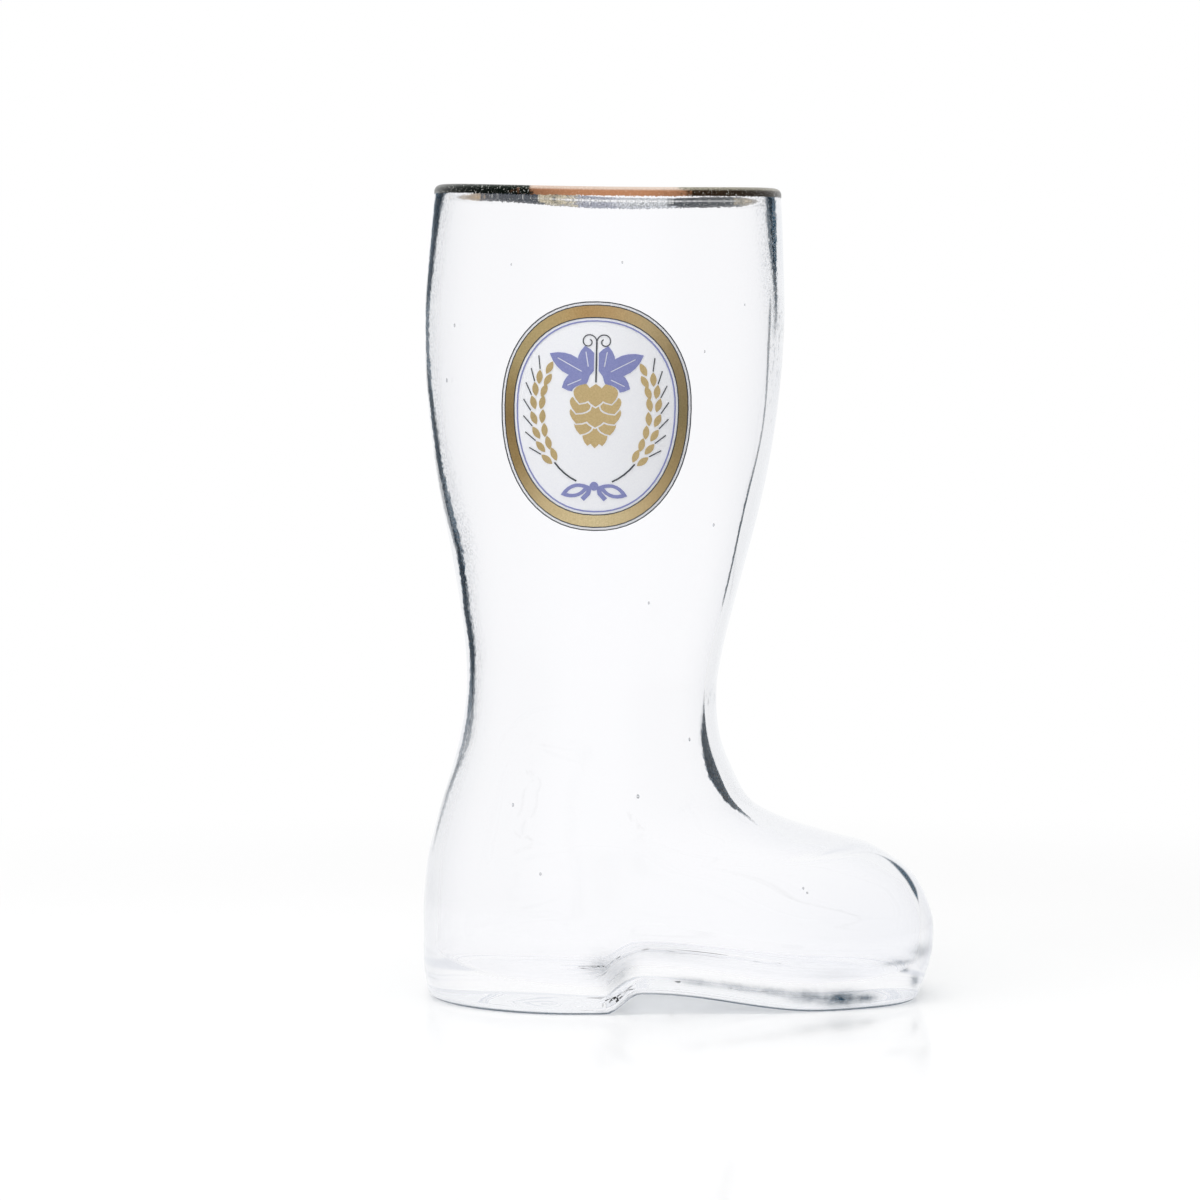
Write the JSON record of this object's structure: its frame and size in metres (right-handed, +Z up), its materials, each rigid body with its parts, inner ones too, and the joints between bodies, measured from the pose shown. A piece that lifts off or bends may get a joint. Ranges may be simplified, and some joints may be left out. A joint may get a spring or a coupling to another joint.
{
  "type": "beer boot glass",
  "caption": "Boot-shaped beer glass of clear blown glass, with a hollow leg and foot, a gilded lip and an oval fired print on the leg.",
  "frame": {"origin": "under the middle of the boot's length, on the floor", "axes": "+X towards the toe, +Z up, the print faces -Y"},
  "size_m": [0.1107, 0.0778, 0.1761],
  "materials": {
    "clear_glass": "clear, mould-blown, smooth",
    "lip_gold": "worn copper-gold lustre",
    "white_enamel": "fired enamel, satin",
    "print_gold": "fired gold, satin",
    "dark_enamel": "fired enamel, satin",
    "blue_enamel": "fired enamel, satin",
    "pale_gold_enamel": "fired enamel, satin"
  },
  "bodies": {
    "root": {"boot_glass": "clear_glass", "rim_gilding": "lip_gold", "print_ground": "white_enamel", "print_gold_ring": "print_gold", "print_hairlines": "dark_enamel", "print_blue_line": "blue_enamel", "print_hop_cone": "pale_gold_enamel", "print_hop_leaves": "blue_enamel", "print_barley_ears": "pale_gold_enamel", "print_barley_stalks": "dark_enamel", "print_ribbon": "blue_enamel"}
  },
  "joints": []
}
